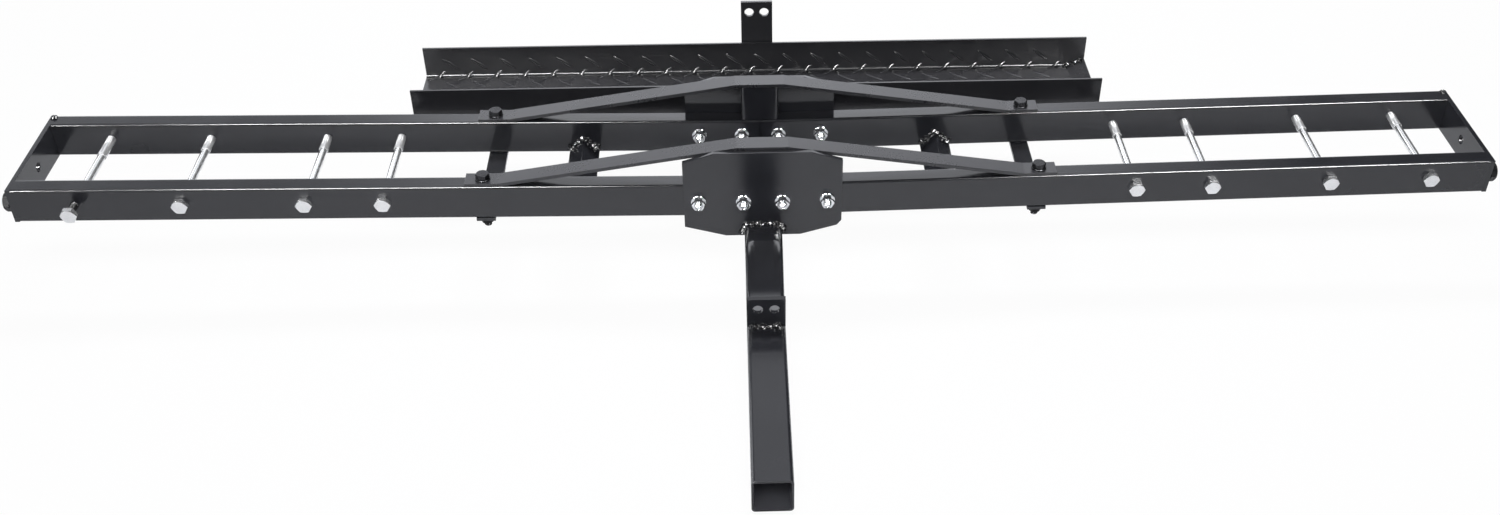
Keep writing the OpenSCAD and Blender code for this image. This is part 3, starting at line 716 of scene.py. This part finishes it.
tread_coat = powder_coat("tread_powder_coat", (0.017, 0.017, 0.020, 1), (0.026, 0.026, 0.030, 1),
                         0.23, 0.12)
eased("loading_ramp", tread_coat, rolled_edge)
ramp_y, ramp_z, ramp_wide, ramp_high, sheet, fold = 0.5775, 0.1122, 0.121, 0.050, 0.003, 0.0068
wall_flat, inner_fold = ramp_high - fold, fold - sheet
fold_arc = inner_fold * math.pi / 2
floor_flat = ramp_wide - 2 * fold
unfolded = 2 * wall_flat + 2 * fold_arc + floor_flat


def on_sheet(x, s, h):
    """A point h above the inside of the folded sheet at distance s down from the rear edge: down
    the rear wall, round a quarter circle, along the floor, round the other and up the front
    wall."""
    back, front, low = ramp_y + ramp_wide, ramp_y, ramp_z
    rear_end, floor_start = wall_flat, wall_flat + fold_arc
    floor_end, front_start = floor_start + floor_flat, floor_start + floor_flat + fold_arc
    a = np.clip((s - rear_end) / inner_fold, 0, math.pi / 2)
    b = np.clip((s - floor_end) / inner_fold, 0, math.pi / 2)
    bend = inner_fold - h
    y_rear = back - fold + bend * np.cos(a)
    z_rear = low + ramp_high - np.minimum(s, rear_end) - bend * np.sin(a)
    z_rear = np.where(s > rear_end, low + fold - bend * np.sin(a), z_rear)
    y_rear = np.where(s > floor_start, back - fold - (s - floor_start), y_rear)
    y_front = front + fold - bend * np.sin(b)
    z_front = low + fold - bend * np.cos(b) + np.maximum(s - front_start, 0)
    past = s > floor_end
    return np.stack([x, np.where(past, y_front, y_rear), np.where(past, z_front, z_rear)], -1)


def tread_bars():
    """Lens shaped bars laid on the unfolded sheet: rows 21 mm apart, bars 42 mm apart in a row,
    each row shifted half a pitch and leaning the other way. Along a bar its width and height fall
    as the root of one less the square of the place, and its section is a low parabola sunk in the
    sheet."""
    pitch, row_gap, first_x, first_s, last_x = 0.042, 0.021, -0.4554, 0.0275, 0.448
    long, wide, tall, lean, margin = 0.032, 0.0052, 0.00109, math.radians(38), 0.0005
    row, column = np.meshgrid(np.arange(8), np.arange(24), indexing="ij")
    place_x = first_x + column * pitch - (row % 2) * pitch / 2
    place_s = first_s + row * row_gap
    way = np.where(row % 2 == 0, 1.0, -1.0)
    keep = place_x.ravel() < last_x
    place_x, place_s, way = (v.ravel()[keep][:, None, None] for v in (place_x, place_s, way))
    u = np.array([-1, -0.86, -0.5, 0, 0.5, 0.86, 1.0])[:, None]
    q = np.array([-1, -0.7, -0.35, 0, 0.35, 0.7, 1, 0.6, -0.6])[None, :]
    rise = np.array([0, 0.51, 0.8775, 1, 0.8775, 0.51, 0, -0.3, -0.3])[None, :]
    full = np.sqrt(1 - u ** 2)
    along, across = u * long / 2 + 0 * q, full * q * wide / 2
    up = full * rise * tall
    x = place_x + along * math.cos(lean) - way * across * math.sin(lean)
    s = place_s + way * along * math.sin(lean) + across * math.cos(lean)
    s = np.clip(s, margin, unfolded - margin)
    points = on_sheet(x, s, up + 0 * x)
    count, rows, columns = points.shape[:3]
    quads = grid(points[0], False, True)[1]
    every = quads[None] + (np.arange(count) * rows * columns)[:, None, None]
    return [(points.reshape(-1, 3), every.reshape(-1, 4))]


piece("ramp_tread_bars", tread_bars(), tread_coat, "ramp", sharp=60)

lip_start, lip_end, lip_rise, lip_bead, lip_ripple = 0.468, 0.491, 0.0095, 0.0027, 0.0036
lip_inset, lip_lift, lip_lead, lip_turn = 0.0016, 0.0012, 0.006, 0.0008
lip_welds = []
for y, facing, seed in ((ramp_y + ramp_wide - sheet, -1.0, 0.6), (ramp_y + sheet, 1.0, 2.0)):
    inner, low = y + facing * lip_inset, ramp_z + sheet + lip_lift
    spots = [[lip_start - lip_lead, inner, low], [lip_start, inner, low + lip_turn],
             [lip_end, inner, low + lip_rise]]
    lip_welds.append(weld_bead(spots, [[-0.4, facing, 1]] * 3, lip_bead, lip_ripple, seed))
welds("ramp_lip_welds", lip_welds, "ramp")


# The stage: a pale table that the tube lies on, almost white to the camera and matt in reflections,
# in a room that is bright behind and above and dark in front. Three soft boxes give the light, and
# three strips show only as reflections.

floor_half, floor_level = 9, -0.0265
floor_mesh = bpy.data.meshes.new("floor")
floor_mesh.from_pydata([(x * floor_half, y * floor_half, floor_level)
                        for x, y in ((-1, -1), (1, -1), (1, 1), (-1, 1))], [], [(0, 1, 2, 3)])
floor = bpy.data.objects.new("floor", floor_mesh)
bpy.context.scene.collection.objects.link(floor)
floor_white = bpy.data.materials.new("floor_white")
floor_white.use_nodes = True
tree = floor_white.node_tree
tree.nodes.clear()
out = tree.nodes.new("ShaderNodeOutputMaterial")
ray = tree.nodes.new("ShaderNodeLightPath")
seen = Shade(tree, ray.outputs["Is Camera Ray"])
mirrored = Shade(tree, ray.outputs["Is Glossy Ray"]) \
    + Shade(tree, ray.outputs["Is Transmission Ray"])
matt = seen.node("BsdfDiffuse", {}, {"Color": (0.80, 0.81, 0.84, 1)})
glow = seen.node("Emission", {}, {"Color": (1, 1, 1, 1), "Strength": 1.0})
seen_share, mirrored_share = 0.96, 0.08
shown_white = seen * seen_share + mirrored * mirrored_share
seen.put(out.inputs["Surface"], seen.node("MixShader", {}, {0: shown_white, 1: matt, 2: glow}))
floor_mesh.materials.append(floor_white)

world = bpy.data.worlds.new("studio")
bpy.context.scene.world = world
world.use_nodes = True
tree = world.node_tree
tree.nodes.clear()
out = tree.nodes.new("ShaderNodeOutputWorld")
ray = tree.nodes.new("ShaderNodeLightPath")
seen = Shade(tree, ray.outputs["Is Camera Ray"])
mirrored = Shade(tree, ray.outputs["Is Glossy Ray"])
way = Shade(tree, tree.nodes.new("ShaderNodeTexCoord").outputs["Generated"])


def ramped(value, start, end, low=0.0, high=1.0, soft=True):
    """A value of the sky's direction that goes from low at start to high at end."""
    settings = {"interpolation_type": "SMOOTHSTEP"} if soft else {}
    return way.node("MapRange", settings, {0: value, 1: start, 2: end, 3: low, 4: high})


def sky(colour, strength):
    """Light of one colour from all round, as strong as its strength says in each direction."""
    return way.node("Background", {}, {"Color": colour, "Strength": strength})


# a panel behind, fading upwards, and a band overhead
across, forward, height = (way.node("SeparateXYZ", {}, {0: way}, k) for k in range(3))
behind = ramped(forward, -0.14, 0.14)
panel = ramped(height, 0.50, 0.58, 2.9, 1.35, False) \
    - ramped(height, 0.58, 0.67, 0.0, 0.5, False) + ramped(height, 0.90, 0.98, 0.0, 3.2)
# the panel is dimmer at both sides and ends on the right
dim = ramped(height, 0.43, 0.48) * (ramped(across, -0.26, -0.08, 0.78, 0.0)
                                    + ramped(across, 0.10, 0.34))
dark = ramped(across, 0.36, 0.44)
gap = (dim + dark - dim * dark) * ramped(height, 0.72, 0.86, 1.0, 0.0)
fill_light, dark_front = 0.16, 0.04
fill = sky((0.95, 0.97, 1.0, 1), fill_light)
shine = sky((0.95, 0.97, 1.02, 1), behind * panel * (1 - gap) + dark_front)
mixed = way.node("MixShader", {}, {0: mirrored, 1: fill, 2: shine})
white = sky((1, 1, 1, 1), 1.0)
way.put(out.inputs["Surface"], way.node("MixShader", {}, {0: seen, 1: mixed, 2: white}))


def soft_lamp(name, place, aim, wide, high, power, mirrored):
    """A rectangular soft box at a place, turned towards a point: either a strip that only shows as
    a reflection, or one that lights but doesn't show."""
    lamp = bpy.data.lights.new(name, "AREA")
    lamp.shape = "RECTANGLE"
    lamp.size, lamp.size_y, lamp.energy = wide, high, power
    shown = bpy.data.objects.new(name, lamp)
    bpy.context.scene.collection.objects.link(shown)
    shown.location = place
    away = np.array(place, float) - np.array(aim, float)
    away /= np.linalg.norm(away)
    right = np.cross([0, 0, 1.0], away)
    right /= np.linalg.norm(right)
    axes = np.stack([right, np.cross(away, right), away], 1)
    shown.rotation_euler = Matrix(axes.tolist()).to_euler()
    shown.visible_camera = False
    shown.visible_glossy = mirrored
    shown.visible_diffuse = not mirrored


soft_lamp("lamp_top", (0.0, 1.3, 2.3), (0, 0.4, 0.1), 1.6, 0.4, 54, False)
soft_lamp("lamp_left", (-0.6, -1.4, 1.9), (-0.4, 0.4, 0.1), 1.0, 1.0, 15, False)
soft_lamp("lamp_right", (0.6, -1.4, 1.9), (0.4, 0.4, 0.1), 1.0, 1.0, 15, False)
soft_lamp("strip_left", (-1.2, -1.9, 2.8), (-0.5, 0.4, 0.1), 1.5, 0.5, 260, True)
soft_lamp("strip_right", (1.75, -1.9, 2.8), (0.6, 0.4, 0.1), 1.5, 0.5, 330, True)
soft_lamp("strip_low", (-2.1, -1.15, 1.3), (0, 0.69, 0.14), 0.7, 0.35, 90, True)


# The camera stands in front of the hitch and above it, as in a catalogue picture, and looks down
# on the whole carrier, a little turned and rolled.

picture_wide, focal_pixels, centre_pixel, sensor_wide = 1500, 1531.85, 794.6, 36.0
camera = bpy.data.cameras.new("camera")
camera.sensor_width, camera.sensor_fit = sensor_wide, "HORIZONTAL"
camera.lens = focal_pixels / picture_wide * sensor_wide
camera.shift_x = (picture_wide / 2 - centre_pixel) / picture_wide
viewer = bpy.data.objects.new("camera", camera)
bpy.context.scene.collection.objects.link(viewer)
yaw, pitch, roll = math.radians(2.552), math.radians(38.007), math.radians(0.320)
level = math.cos(pitch)
ahead = np.array([math.sin(yaw) * level, math.cos(yaw) * level, -math.sin(pitch)])
right = np.array([math.cos(yaw), -math.sin(yaw), 0])
above = np.cross(right, ahead)
turned_right = math.cos(roll) * right + math.sin(roll) * above
turned_up = math.cos(roll) * above - math.sin(roll) * right
axes = np.stack([turned_right, turned_up, -ahead], 1)
viewer.rotation_euler = Matrix(axes.tolist()).to_euler()
viewer.location = (-0.03104, -1.29559, 1.31382)
bpy.context.scene.camera = viewer
bpy.context.scene.view_settings.view_transform = "Standard"
